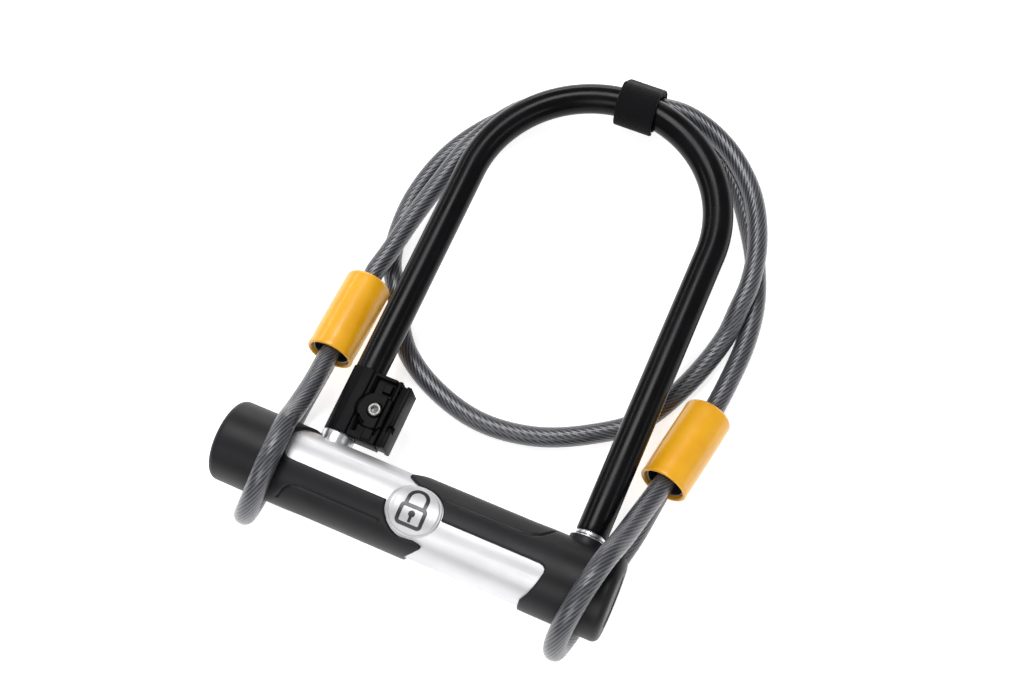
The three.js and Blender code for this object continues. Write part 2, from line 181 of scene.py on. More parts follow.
def upright(points, x):
    """Turns points made along +X to lie along +Y, over a place on the crossbar."""
    return np.stack([x - points[:, 1], points[:, 0], points[:, 2]], axis=1)


def run_along(path):
    """The distance along a path to each of its points."""
    return np.concatenate([[0], np.cumsum(norm(np.diff(path, axis=0), axis=1))])


def points_at(path, places):
    """The points at some distances along a path."""
    run = run_along(path)
    return np.stack([np.interp(places, run, column) for column in path.T], axis=1)


def between(a, b, start, end, place):
    """The point at a place on a straight line that runs from a at start to b at end."""
    return ((end - place) * a + (place - start) * b) / (end - start)


def smooth_route(points, step):
    """A centripetal Catmull-Rom curve through the points, with even steps along it."""
    p = np.asarray(points, float)
    p = np.vstack([2 * p[0] - p[1], p, 2 * p[-1] - p[-2]])
    fine = []
    for i in range(1, len(p) - 2):
        near = p[i - 1 : i + 3]
        t = [0.0]
        for first, second in zip(near, near[1:]):
            t.append(t[-1] + max(norm(second - first), 1e-6) ** 0.5)
        for s in np.linspace(t[1], t[2], 24, endpoint=False):
            ab, bc, cd = (between(near[k], near[k + 1], t[k], t[k + 1], s) for k in range(3))
            abc = between(ab, bc, t[0], t[2], s)
            bcd = between(bc, cd, t[1], t[3], s)
            fine.append(between(abc, bcd, t[1], t[2], s))
    fine = np.array(fine + [p[-2]])
    length = run_along(fine)[-1]
    return points_at(fine, np.linspace(0, length, int(length / step) + 1))


def frames_along(path):
    """Two unit vectors across the path at each point, carried along without twist."""
    tangents = np.gradient(path, axis=0)
    tangents /= norm(tangents, axis=1)[:, None]
    side = np.cross(tangents[0], [0, 0, 1.0])
    across = []
    for tangent in tangents:
        side = side - tangent * side.dot(tangent)
        side = side / norm(side)
        across.append(side)
    return np.array(across), np.cross(tangents, across)


def swept(path, radius_at, sides, twist_pitch=np.inf):
    """A round tube along a path. radius_at gives the radii of one ring from its index."""
    across, up = frames_along(path)
    run = run_along(path)
    base = circle(sides)
    points, uvs = [], []
    for i, centre in enumerate(path):
        angle = base + 2 * pi * run[i] / twist_pitch
        radius = radius_at(i, base)
        ring = centre + (np.cos(angle) * radius)[:, None] * across[i]
        points.append(ring + (np.sin(angle) * radius)[:, None] * up[i])
        uvs.append(np.stack([base / (2 * pi), np.full(sides, run[i] / 100)], axis=1))
    last = (len(path) - 1) * sides
    caps = [tuple(range(sides))[::-1], tuple(range(last, last + sides))]
    return np.vstack(points), ring_faces(len(path), sides) + caps, np.vstack(uvs)


# ---- material helpers


def new_material(name):
    """A new material, its node tree and its shader."""
    material = bpy.data.materials.new(name)
    material.use_nodes = True
    return material, material.node_tree, material.node_tree.nodes["Principled BSDF"]


def set_inputs(node, inputs):
    """Gives each named input of a node its value, or a link when the value is an output."""
    for name, value in inputs.items():
        if isinstance(value, bpy.types.NodeSocket):
            node.id_data.links.new(value, node.inputs[name])
        else:
            node.inputs[name].default_value = value


def add_node(tree, kind, inputs):
    node = tree.nodes.new("ShaderNode" + kind)
    set_inputs(node, inputs)
    return node


def noise(tree, scale, detail=3.0, roughness=0.55, stretch=None):
    place = add_node(tree, "TexCoord", {}).outputs["Object"]
    if stretch:
        place = add_node(tree, "Mapping", {"Vector": place, "Scale": stretch}).outputs["Vector"]
    inputs = {"Vector": place, "Scale": scale, "Detail": detail, "Roughness": roughness}
    return add_node(tree, "TexNoise", inputs).outputs["Fac"]


def ramp(tree, factor, *stops):
    """A colour ramp. Each stop is (position, colour) or (position, value)."""
    node = add_node(tree, "ValToRGB", {"Fac": factor})
    elements = node.color_ramp.elements
    while len(elements) < len(stops):
        elements.new(0.5)
    for element, (position, colour) in zip(elements, stops):
        element.position = position
        element.color = (*colour, 1) if isinstance(colour, tuple) else (colour, colour, colour, 1)
    return node.outputs["Color"]


def bump(tree, height, strength, distance, normal=None):
    inputs = {"Height": height, "Strength": strength, "Distance": distance}
    if normal:
        inputs["Normal"] = normal
    return add_node(tree, "Bump", inputs).outputs["Normal"]


def brushed_metal(name, dark, light, rough, stretch=(1, 1, 1), metallic=1.0):
    """Metal with fine lines, drawn out along the axis that stretch makes small."""
    material, tree, shader = new_material(name)
    lines = noise(tree, 900, 4, 0.6, stretch)
    set_inputs(shader, {
        "Base Color": ramp(tree, noise(tree, 35), (0.3, dark), (0.7, light)),
        "Roughness": ramp(tree, lines, (0.25, rough - 0.07), (0.75, rough + 0.09)),
        "Normal": bump(tree, lines, 0.25, 0.00006),
        "Metallic": metallic,
    })
    return material


def moulded_plastic(name, dark, light, rough, grain=2600.0, depth=0.00003, coat=0.0, specular=0.5):
    """Plastic or vinyl with a fine grain of some depth, in metres, and a slightly uneven gloss."""
    material, tree, shader = new_material(name)
    wide = noise(tree, 45, 4)
    set_inputs(shader, {
        "Base Color": ramp(tree, wide, (0.3, dark), (0.72, light)),
        "Roughness": ramp(tree, wide, (0.3, rough - 0.05), (0.7, rough + 0.06)),
        "Normal": bump(tree, noise(tree, grain, 2, 0.5), 0.35, depth),
        "Specular IOR Level": specular,
        "Coat Weight": coat,
        "Coat Roughness": 0.12,
    })
    return material


def cable_material():
    """Twisted steel strands under a coat of clear smoky vinyl. The cable's U runs round it and
    turns with the strands, and V runs along it."""
    material, tree, shader = new_material("cable_vinyl")
    uv = add_node(tree, "TexCoord", {}).outputs["UV"]
    turn = add_node(tree, "SeparateXYZ", {"Vector": uv}).outputs["X"]
    phase = add_node(tree, "Math", {0: turn, 1: 2 * pi * STRANDS})
    phase.operation = "MULTIPLY"
    wave = add_node(tree, "Math", {0: phase.outputs[0]})
    wave.operation = "COSINE"
    crest = add_node(tree, "MapRange", {"Value": wave.outputs[0], "From Min": -1.0}).outputs["Result"]
    long_grain = add_node(tree, "Mapping", {"Vector": uv, "Scale": (1.6 * STRANDS, 7.0, 1.0)})
    wires = add_node(tree, "TexNoise", {"Vector": long_grain.outputs["Vector"], "Scale": 1.0,
                                        "Detail": 3.0})
    clouds = noise(tree, 90)
    streaks = add_node(tree, "Mix", {"Factor": 0.4, "A": wires.outputs["Fac"], "B": clouds})
    shade = add_node(tree, "Mix", {"Factor": 0.62, "A": crest, "B": streaks.outputs["Result"]})
    set_inputs(shader, {
        "Base Color": ramp(tree, shade.outputs["Result"], (0.2, (0.010, 0.010, 0.013)),
                           (0.5, (0.035, 0.036, 0.043)), (0.8, (0.12, 0.123, 0.139))),
        "Roughness": ramp(tree, clouds, (0.3, 0.34), (0.7, 0.46)),
        "Normal": bump(tree, crest, 0.15, 0.00015),
        "Metallic": 0.2,
        "Coat Weight": 0.6,
        "Coat Roughness": 0.26,
    })
    return material


def woven_strap_material():
    """Black hook-and-loop tape: a fine woven ground with a fuzz of loops."""
    material, tree, shader = new_material("strap_fabric")
    place = add_node(tree, "TexCoord", {}).outputs["Object"]
    weave = add_node(tree, "TexVoronoi", {"Vector": place, "Scale": 1500})
    fuzz = noise(tree, 3000, 3, 0.7)
    ground = bump(tree, weave.outputs["Distance"], 0.5, 0.0003)
    set_inputs(shader, {
        "Base Color": ramp(tree, fuzz, (0.25, (0.001, 0.001, 0.0014)), (0.8, (0.007, 0.007, 0.0084))),
        "Normal": bump(tree, fuzz, 0.5, 0.0002, ground),
        "Roughness": 0.85,
        "Specular IOR Level": 0.12,
        "Sheen Weight": 0.06,
        "Sheen Roughness": 0.4,
    })
    return material


STRANDS = 20

SATIN = brushed_metal("satin_sleeve", (0.57, 0.57, 0.585), (0.66, 0.66, 0.675), 0.48, (0.02, 1, 1), 0.9)
STEEL = brushed_metal("hardened_steel", (0.55, 0.56, 0.58), (0.68, 0.69, 0.71), 0.3, (1, 0.05, 1))
BRASS = brushed_metal("cylinder_brass", (0.60, 0.45, 0.18), (0.72, 0.56, 0.26), 0.32, (0.05, 1, 1))
BADGE = brushed_metal("badge_metal", (0.40, 0.40, 0.415), (0.52, 0.52, 0.535), 0.48, (1, 0.03, 1), 0.8)
# aluminium grey darkened as painted shade: the crimp's dark colour stands in for the shade inside the
# ferrule mouths
SHADE_DARKENED_CRIMP = brushed_metal("crimp_aluminium", (0.30, 0.29, 0.28), (0.42, 0.41, 0.40), 0.4)
SCREW_STEEL = brushed_metal("screw_steel", (0.17, 0.168, 0.165), (0.25, 0.247, 0.243), 0.38)
GRIP = moulded_plastic("grip_plastic", (0.004, 0.004, 0.005), (0.008, 0.008, 0.010), 0.46, specular=0.25)
BRACKET = moulded_plastic("bracket_plastic", (0.002, 0.002, 0.0025), (0.004, 0.004, 0.005), 0.44,
                          specular=0.06)
VINYL = moulded_plastic("shackle_vinyl", (0.002, 0.002, 0.0025), (0.004, 0.004, 0.005), 0.24,
                        700.0, 0.00001, specular=0.12)
FERRULE = moulded_plastic("ferrule_vinyl", (0.71, 0.32, 0.002), (0.80, 0.40, 0.005), 0.34,
                          900.0, coat=0.3)
MARK = moulded_plastic("badge_enamel", (0.006, 0.006, 0.007), (0.012, 0.012, 0.013), 0.35)
CABLE = cable_material()
STRAP = woven_strap_material()


# ---- camera


def add_camera():
    """Over the lock, tilted towards the arch and turned so that the crossbar runs down-right."""
    tilt, turn, roll = radians(17.22), radians(11.51), radians(21.34)
    facing = Matrix.Rotation(tilt, 4, "X") @ Matrix.Rotation(turn, 4, "Y")
    facing = facing @ Matrix.Rotation(roll, 4, "Z")
    camera = add_object("camera", bpy.data.cameras.new("camera"))
    camera.data.sensor_width = 36
    camera.data.lens = 48.13
    camera.data.clip_start = 0.01
    camera.data.clip_end = 20
    camera.matrix_world = Matrix.Translation(at(123.5, -96.2, 622.2)) @ facing
    bpy.context.scene.camera = camera


# ---- cable and ferrules

LOW = -26.2
FERRULES = {
    "left": {"bottom": (-91.5, 59.9, -9.8), "top": (-92, 105.2, -16.8), "turn": 15},
    "right": {"bottom": (86.3, 61.7, -10), "top": (93.6, 106.2, -18.6), "turn": 0},
}
STRAND = 5.2  # each strand's distance from its ferrule's axis outside the ferrule
PRESSED = 4.6  # and inside it, where the strands are squeezed
UPPER, LOWER = 1, -1  # which of a ferrule's two strands
LEAD = 5.0  # how far the strands keep that distance beyond each end of the ferrule
LAY_LENGTH = 72.0  # one turn of the strands

MAIN_ROUTE = [
    (-88.9, 122.4, -13), (-86.3, 144.8, -14.4), (-82, 170, -15.2), (-75, 198, -14.4),
    (-58, 225.4, -13), (-30, 242.6, -12.2), (2, 250.8, -11.4), (24, 253.6, -12),
    (48.9, 245.3, -14.4), (71, 225.4, -15.8), (83.3, 200.7, -15.8), (87.8, 178, -16.4),
    (87.4, 163, -18.6), (86.2, 148, -23.4), (78, 120.5, LOW), (63.5, 92.4, LOW),
    (43.7, 76.8, LOW), (18.1, 64.7, LOW), (-10, 61.1, LOW), (-36.7, 67.3, LOW),
    (-59.2, 80, LOW), (-71.8, 95.3, LOW), (-79.7, 108.6, LOW), (-89.2, 123, LOW),
    (-93.9, 142, LOW), (-94.3, 166, LOW), (-86.7, 195.2, LOW), (-67.5, 223.6, -25.8),
    (-38, 243.8, -23.4), (3, 254.8, -21.8), (35.3, 250.6, -24.6), (58.8, 234, LOW),
    (76.3, 210.4, LOW), (87.7, 189.3, LOW), (94, 170.6, LOW), (96.6, 149, LOW),
    (95.8, 126, -25.4),
]
LEFT_EYE_ROUTE = [
    (-87.9, 40, 4), (-86.4, 24, 13.4), (-84.4, 13, 23.2), (-83, 0, 26.6),
    (-83.1, -10.8, 24.8), (-84.5, -20.6, 18), (-87.2, -27.6, 8.5), (-90.3, -29.9, -1),
    (-93.1, -27.7, -11.5), (-95.4, -20.4, -20.6), (-97, -9, -25.6), (-97.7, 4, LOW - 0.1),
    (-98.1, 18, LOW), (-97, 34, -23.4),
]
RIGHT_EYE_ROUTE = [
    (82.6, 41, 4.4), (80.1, 26, 14.2), (77.4, 13.5, 23), (75, 1, 26.6),
    (72.9, -10.4, 24.8), (71, -21, 18.4), (70, -28, 9), (69.9, -30.3, -1),
    (70.2, -27, -12), (71.4, -18.5, -21.4), (73.5, -6, LOW + 0.2), (76, 8, LOW - 0.1),
    (78.8, 22, LOW), (82, 36, -23.4),
]


def ferrule_frame(side):
    """Middle of the bottom end, direction to the top end, the upper strand's side, and length."""
    bottom, top = (np.array(FERRULES[side][end], float) for end in ("bottom", "top"))
    length = norm(top - bottom)
    along = (top - bottom) / length
    up = np.array([0, 0, 1.0]) - along * along[2]
    up /= norm(up)
    turn = radians(FERRULES[side]["turn"])
    up = up * cos(turn) + np.cross(along, up) * sin(turn)
    return bottom, along, up, length


def strand_points(side, level, runs, spread=PRESSED):
    """Points of a strand at some distances up from its ferrule's bottom end."""
    bottom, along, up, _ = ferrule_frame(side)
    return [bottom + along * run + up * spread * level for run in runs]


def through_ferrule(side, level):
    """The cable's points through a ferrule, from the lead below it to the lead above it."""
    length = ferrule_frame(side)[3]
    squeezed = strand_points(side, level, [-1.5, 3, length / 2, length - 3, length + 1.5])
    below, above = strand_points(side, level, [-LEAD, length + LEAD], STRAND)
    return [below, *squeezed, above]


def cable_end(side, level):
    """The end of the cable, from its cut face inside the ferrule to the lead below it."""
    inside = strand_points(side, level, [38, 20, 3, -1.5])
    return inside + strand_points(side, level, [-LEAD], STRAND)


def cable_points():
    """The whole cable: out of the left ferrule into its eye, back through it, all the way round,
    and through the right ferrule into the other eye."""
    return (
        cable_end("left", LOWER)
        + LEFT_EYE_ROUTE[::-1]
        + through_ferrule("left", UPPER)
        + MAIN_ROUTE
        + through_ferrule("right", LOWER)[::-1]
        + RIGHT_EYE_ROUTE[::-1]
        + cable_end("right", UPPER)[::-1]
    )


def ease(t):
    """0 below 0 and 1 above 1, with a smooth rise between."""
    t = np.clip(t, 0, 1)
    return t * t * (3 - 2 * t)


def ridge(distance, crest, width):
    """1 where a distance is that of the crest, falling off smoothly to 0 on both sides."""
    return np.exp(-(((distance - crest) / width) ** 2))


def near_ferrule(path):
    """How far inside a ferrule each point of the path is, from 0 outside to 1 inside."""
    inside = np.zeros(len(path))
    for side in FERRULES:
        bottom, along, _, length = ferrule_frame(side)
        run = (path - bottom) @ along
        off = norm((path - bottom) - run[:, None] * along, axis=1)
        depth = np.minimum(run, length - run)
        inside = np.maximum(inside, ease((depth + 3.0) / 2.5) * (off < FERRULE_R))
    return inside


def add_cable():
    path = smooth_route(cable_points(), 2.0)
    pinch = near_ferrule(path)
    swell, squeeze = 0.06, 0.35

    def radius_at(i, base):
        return CABLE_R + swell - squeeze * pinch[i] + swell * np.cos(STRANDS * base)

    points, faces, uvs = swept(path, radius_at, 4 * STRANDS, LAY_LENGTH)
    cable = add_piece("cable", points, faces, None, CABLE, uvs=uvs, tidy=False)
    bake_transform(cable)
    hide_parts("cable_main", "cable_eye_left", "cable_eye_right")
    length = float(run_along(path)[-1]) * MM


def in_ferrule(points, side):
    """Moves points made along +X, with +Z towards the upper strand, onto a ferrule's axis."""
    bottom, along, up, _ = ferrule_frame(side)
    return bottom + points @ np.array([along, np.cross(up, along), up])


def add_ferrule_cover(side):
    """A dipped vinyl sleeve: a round shoulder at the top, and an open cut end below."""
    length = ferrule_frame(side)[3]
    wall = 1.9
    outer = FERRULE_R - 0.05
    shoulder = 2.6
    profile = [(8.0, outer - wall - 0.1), (0.5, outer - wall)]
    profile += arc((0.5, outer - 1.0), 0.5, 225, 180, 3)
    profile += arc((0.9, outer - 0.9), 0.9, 180, 90, 5)
    for t in np.linspace(0.06, 0.88, 14):
        profile.append((length * t, outer - 0.3 + 0.3 * sin(pi * t) ** 0.5))
    profile += arc((length - shoulder, outer - shoulder), shoulder, 88, 6, 9)
    profile += [(length - 0.3, outer - shoulder - 0.2), (length - 2.5, outer - shoulder + 0.1)]
    points, faces = turned(profile, 80)
    return add_piece(f"ferrule_sleeve_{side}", in_ferrule(points, side), faces, "crossbar",
                     FERRULE, f"ferrule_cover_{side}")


def add_crimp(side):
    """The pressed aluminium sleeve that lines the cover, with a rolled lip at its open end. Its metal is
    given a dark grey as painted shade of the deep mouth.
    """
    length = ferrule_frame(side)[3]
    outer, inner = FERRULE_R - 2.0, FERRULE_R - 2.75
    profile = [(12.0, inner + 0.1), (2.9, inner)]
    profile += arc((2.4, (outer + inner) / 2), (outer - inner) / 2, 270, 90, 7)
    profile += [(2.9, outer), (length - 3.2, outer), (length - 3.0, inner), (length - 12.0, inner)]
    points, faces = turned(profile, 72)
    points[:, 1] *= 1 - 0.05 * np.abs(points[:, 1] / outer) ** 3
    return add_piece(f"crimp_{side}", in_ferrule(points, side), faces, "crossbar",
                     SHADE_DARKENED_CRIMP, f"crimp_sleeve_{side}")


# ---- surfaces wrapped on the crossbar


def line_distance(points, line):
    """Distance from each (x, s) point to an open line."""
    line = np.asarray(line, float)
    best = np.full(len(points), 1e9)
    for a, b in zip(line[:-1], line[1:]):
        edge, rel = b - a, points - a
        t = np.clip((rel @ edge) / max(edge @ edge, 1e-12), 0, 1)
        best = np.minimum(best, norm(rel - t[:, None] * edge, axis=1))
    return best


def polygon_distance(points, outline):
    """Signed distance from each (x, s) point to a closed outline, negative inside it."""
    outline = np.vstack([outline, outline[:1]])
    inside = np.zeros(len(points), bool)
    for a, b in zip(outline[:-1], outline[1:]):
        rise = b[1] - a[1]
        crosses = (a[1] > points[:, 1]) != (b[1] > points[:, 1])
        if abs(rise) > 1e-12:
            inside ^= crosses & (points[:, 0] < a[0] + (points[:, 1] - a[1]) * (b[0] - a[0]) / rise)
    distance = line_distance(points, outline)
    return np.where(inside, -distance, distance)


def clipped_grid(inside, us, ss):
    """Cuts a grid of (u, s) points where inside(points) is 0 and keeps its negative part.
    Returns the kept points, the faces, and the edges of the cut as pairs of points."""
    nu, ns = len(us), len(ss)
    grid = np.stack(np.meshgrid(us, ss, indexing="ij"), axis=-1).reshape(-1, 2)
    value = inside(grid)
    value = np.where(np.abs(value) < 1e-4, -1e-4, value)
    kept, points, faces, edges = {}, [], [], []

    def keep(a, b):
        """The number of grid point a when b is the same, and otherwise of the cut between them."""
        key = a, b = min(a, b), max(a, b)
        if key not in kept:
            t = value[a] / (value[a] - value[b]) if a != b else 0
            kept[key] = len(points)
            points.append(grid[a] * (1 - t) + grid[b] * t)
        return kept[key]

    for i in range(nu - 1):
        for j in range(ns - 1):
            square = (i * ns + j, (i + 1) * ns + j, (i + 1) * ns + j + 1, i * ns + j + 1)
            signs = [value[k] < 0 for k in square]
            if not any(signs):
                continue
            face, cut = [], []
            for n in range(4):
                here, there = square[n], square[(n + 1) % 4]
                if signs[n]:
                    face.append(keep(here, here))
                if signs[n] != signs[(n + 1) % 4]:
                    place = keep(here, there)
                    face.append(place)
                    cut.append((place, signs[n]))
            if len(face) > 2:
                faces.append(face)
            for first, second in zip(cut[::2], cut[1::2]):
                edges.append((first[0], second[0]) if first[1] else (second[0], first[0]))
    return np.array(points), faces, edges


def edge_drop(depth, size):
    """How far a rounded edge lies below the surface, at a depth in from the outline."""
    left = np.clip(size - depth, 0, size)
    return size - np.sqrt(np.maximum(size * size - left * left, 0))


def add_sheet(name, node, inside, us, ss, place, floor, body, material, **options):
    """The part of a grid where inside(points) is negative. place(points) puts it in space, and
    walls stand round it down to floor(points)."""
    flat, faces, edges = clipped_grid(inside, us, ss)
    rim = sorted({k for edge in edges for k in edge})
    low = {k: len(flat) + n for n, k in enumerate(rim)}
    points = np.vstack([place(flat), floor(flat[rim])])
    faces += [(a, b, low[b], low[a]) for a, b in edges]
    add_piece(name, points, faces, body, material, node, **options)


def on_tube(x, s, radius):
    """A point on the crossbar: s is the distance round from the top at the grip's radius."""
    angle = s / GRIP_R
    return np.stack([x, radius * np.sin(angle), radius * np.cos(angle)], axis=1)


def angles_to_s(places):
    """Turns (along, angle) places on the crossbar into (along, s)."""
    return [(along, radians(angle) * GRIP_R) for along, angle in places]


HALF_TURN = pi * GRIP_R
BADGE_CUT = BADGE_R + 0.45  # the grips stop at this radius round the badge
CAP_EDGE = 3.4  # rounding of the caps' rims
SWELL_START, SWELL_LENGTH = 50, 14  # where a grip swells to its cap
GROOVE_DEPTH, GROOVE_WIDTH = 0.85, 0.42


def round_the_rim(u, straight):
    """How far along and how far below the cap's side a point lies, that is u along the side,
    round the rim, and in over the end."""
    angle = np.clip((u - straight) / CAP_EDGE, 0, pi / 2)
    past = np.maximum(u - straight - CAP_EDGE * pi / 2, 0)
    return np.minimum(u, straight) + CAP_EDGE * np.sin(angle), CAP_EDGE * (1 - np.cos(angle)) + past


def add_moulding(side, length, sign, tip, window_edge, groove):
    """One grip with its cap. Their outlines run along from the badge's centre to the cap's end."""
    straight = length - CAP_EDGE
    reach = straight + CAP_EDGE * pi / 2 + 0.4
    grip_outline, cap_outline = grip_outlines(length, tip, window_edge)
    groove = angles_to_s(groove)

    def inside(points):
        grip = polygon_distance(points, grip_outline)
        cap = polygon_distance(points, cap_outline)
        return np.maximum(np.minimum(grip, cap), BADGE_CUT - np.hypot(*points.T))

    def on_side(along, s, radius):
        return on_tube(BADGE_X + sign * along, sign * s, radius)

    def place(points):
        along, below = round_the_rim(points[:, 0], straight)
        outer = GRIP_R + (CAP_R - GRIP_R) * ease((points[:, 0] - SWELL_START) / SWELL_LENGTH)
        sink = GROOVE_DEPTH * ridge(line_distance(points, groove), 0, GROOVE_WIDTH)
        radius = outer - below - edge_drop(-inside(points), 0.7) - sink
        return on_side(along, points[:, 1], radius)

    def floor(points):
        return on_side(points[:, 0], points[:, 1], SLEEVE_R - 0.1)

    us = np.concatenate([np.arange(-14, straight, 0.5), np.linspace(straight, reach, 12)])
    ss = np.linspace(-HALF_TURN, HALF_TURN, 253)
    add_sheet(f"{side}_grip", f"{side}_grip_cap", inside, us, ss, place, floor, "crossbar", GRIP)


def rounded(corners, radius, steps=5):
    """Replaces each (x, s, True) corner by an arc of about that radius; others stay sharp."""
    places = np.array([corner[:2] for corner in corners], float)
    out = []
    for i, here in enumerate(places):
        if not corners[i][2]:
            out.append(here)
            continue
        ways = [places[i - 1] - here, places[(i + 1) % len(places)] - here]
        first, last = (here + way / norm(way) * min(radius, norm(way) / 2) for way in ways)
        for t in np.linspace(0, 1, steps):
            out.append((1 - t) ** 2 * first + 2 * t * (1 - t) * here + t * t * last)
    return out


def grip_outlines(length, tip, window_edge):
    """The grip's and cap's outlines for one end, with the grip on the +s side. tip lists the
    (along, angle, soft) corners from the grip's back edge round to the badge, and window_edge
    the (along, angle) points where the bare sleeve ends against the cap."""
    far = length + 60
    corners = [(60, 0.2, False), (far, 0.2, False), (far, HALF_TURN, False)]
    corners += [(along, radians(angle) * GRIP_R, soft) for along, angle, soft in tip]
    grip = rounded(corners + [(0, 0.2, False)], 2.5)
    cap = [(far, HALF_TURN + 1), (far, -HALF_TURN - 1)] + angles_to_s(window_edge)
    return grip, cap + [(window_edge[-1][0], HALF_TURN + 1)]


def add_grips():
    """Both mouldings. Angles are in degrees round the crossbar from its top."""
    right_edge = [(58, -180), (58.5, -95), (59.4, -63), (62.2, -45), (64.6, -24.5), (65.8, -10),
                  (65.6, -4), (64.2, -0.5), (62.5, 0.5)]
    left_edge = [(61, -180), (62, -95), (64, -75), (67, -62), (69.6, -45), (69, -24),
                 (67.8, -8), (67, -3), (65.6, -0.2), (63.4, 0.5)]
    right_groove = [(11.2, 28.5), (30, 29.6), (50, 31), (54, 33.5), (58, 40), (60.5, 50), (62.3, 62)]
    left_groove = [(14, 31), (35, 31), (55, 31.5), (59, 34), (62, 42), (64.7, 61)]
    right_tip = [(-2, 180, False), (-2, 80, True), (-6.4, 66, True), (-10.9, 54, True),
                 (-6.4, 44, True), (1.1, 33, False)]
    left_tip = [(-1, 180, False), (-1, 86, True), (-3.4, 71, False), (-6.8, 56.5, False),
                (-10, 44, True), (-4.8, 40.8, False), (-0.3, 42.6, False), (3.4, 43.6, True),
                (7.2, 36.4, False), (10.5, 26.8, False), (6, 15, False)]
    add_moulding("right", BAR_RIGHT - BADGE_X, 1, right_tip, right_edge, right_groove)
    add_moulding("left", BADGE_X - BAR_LEFT, -1, left_tip, left_edge, left_groove)


# ---- crossbar metal


def add_sleeve():
    left, right = low_of("crossbar_sleeve").x, high_of("crossbar_sleeve").x
    profile = [(x, SLEEVE_R) for x in np.linspace(left, right, 60)]
    profile = [(left, SLEEVE_R - 0.8), *profile, (right, SLEEVE_R - 0.8)]
    points, faces = turned(profile, 160)
    add_piece("satin_sleeve", points, faces, "crossbar", SATIN, "crossbar_sleeve", tidy=False)


MARK_SCALE = 1.3


def padlock_mark(points):
    """Signed distance to a plain padlock outline, about 18 mm tall, centred on the badge."""
    x, s = points.T / MARK_SCALE
    half_line, corner = 0.72, 1.3
    half_width, half_height, body_s = 4.6, 3.6, -2.4
    bow_r, bow_s, bow_foot = 3.5, 4.0, 1.2
    out_x, out_s = np.abs(x) - half_width + corner, np.abs(s - body_s) - half_height + corner
    body = np.hypot(np.maximum(out_x, 0), np.maximum(out_s, 0)) - corner
    body += np.minimum(np.maximum(out_x, out_s), 0)
    bow = np.abs(np.where(s > bow_s, np.hypot(x, s - bow_s), np.abs(x)) - bow_r)
    bow = np.where(s < bow_foot, np.maximum(bow, bow_foot - s), bow)
    hole = np.minimum(np.hypot(x, s + 1.6) - 1.25, np.maximum(np.abs(x) - 0.55, np.abs(s + 3.2) - 1.6))
    line = np.minimum(np.abs(body + 0.1), bow) - half_line
    return np.minimum(line, hole) * MARK_SCALE


def add_badge():
    """The round badge, with a groove near its rim, and the mark that stands on it."""
    def disc(points):
        return np.hypot(*points.T) - BADGE_R

    def on_bar(points, radius):
        return on_tube(BADGE_X + points[:, 0], points[:, 1], radius)

    def badge_face(points):
        groove = 0.35 * ridge(disc(points), -0.9, 0.3)
        return on_bar(points, GRIP_R - 0.25 - edge_drop(-disc(points), 0.35) - groove)

    def mark_face(points):
        return on_bar(points, GRIP_R - 0.17 - edge_drop(-padlock_mark(points), 0.06))

    grid = np.linspace(-BADGE_R - 0.5, BADGE_R + 0.5, 92)
    add_sheet("badge", "badge_plate", disc, grid, grid, badge_face,
              lambda points: on_bar(points, SLEEVE_R - 0.1), "crossbar", BADGE)
    grid = np.linspace(-11, 11, 180)
    add_sheet("badge_mark", None, padlock_mark, grid, grid, mark_face,
              lambda points: on_bar(points, GRIP_R - 0.35), "crossbar", MARK, slot="badge_metal")


def add_collars():
    """Steel collars round both feet, and the moulded boss round the right one."""
    for side, x in SIDES:
        top = COLLAR_TOP
        profile = [(top - 8, ROD_R + 0.4), (top - 0.4, ROD_R + 0.4), (top, ROD_R + 0.7)]
        profile += arc((top - 0.6, COLLAR_R - 0.6), 0.6, 0, 90, 5)
        profile += [(19, COLLAR_R), (16.5, COLLAR_R + 0.15), (14.5, COLLAR_R + 0.9)]
        points, faces = turned(profile, 64)
        add_piece(f"{side}_collar", upright(points, x), faces, "crossbar", STEEL, f"{side}_leg_collar")
    top = COLLAR_TOP - 0.6
    profile = [(top - 6, 8.35), (top - 0.4, 8.35)] + arc((top - 0.6, 8.7), 0.6, 0, 90, 5)
    profile += [(19.8, 9.32), (18.6, 9.45), (16.5, 10.2), (13, 11.5)]
    points, faces = turned(profile, 72)
    add_piece("right_leg_boss", upright(points, LEG_X), faces, "crossbar", GRIP)


# ---- shackle


def shackle_path(start, step=1.6):
    legs = np.linspace(start, ARCH_Y, int((ARCH_Y - start) / step), endpoint=False)
    turn = np.linspace(0, pi, 129)
    bend = [(-LEG_X * cos(a), ARCH_Y + LEG_X * sin(a), 0) for a in turn]
    return np.array([(-LEG_X, y, 0) for y in legs] + bend + [(LEG_X, y, 0) for y in legs[::-1]])


def rounded_ends(path, radius, edge):
    """A radius function for swept(): the tube's two ends are rounded off over edge millimetres."""
    run = run_along(path)
    drop = edge_drop(np.minimum(run, run[-1] - run), edge)
    return lambda i, base: np.full(len(base), radius - drop[i])


def with_fine_ends(path, edge, steps=5):
    """Adds points near both ends of a path whose legs run along Y, so that a rounding shows."""
    rise = np.outer(edge * (1 - np.cos(np.linspace(0, pi / 2, steps))), (0, 1, 0))
    return np.vstack([path[0] + rise, path[2:-2], path[-1] + rise[::-1]])


def cut_away(obj, points, faces):
    """Cuts a closed solid out of an object."""
    mesh = bpy.data.meshes.new("cutter")
    mesh.from_pydata(to_metres(points).tolist(), [], faces)
    cutter = add_object("cutter", mesh)
    tidy_mesh(cutter)
    change = obj.modifiers.new("cut", "BOOLEAN")
    change.operation = "DIFFERENCE"
    change.solver = "EXACT"
    change.object = cutter
    depsgraph = bpy.context.evaluated_depsgraph_get()
    result = bpy.data.meshes.new_from_object(obj.evaluated_get(depsgraph))
    obj.modifiers.clear()
    obj.data = result
    bpy.data.objects.remove(cutter)
    result.set_sharp_from_angle(angle=radians(35))


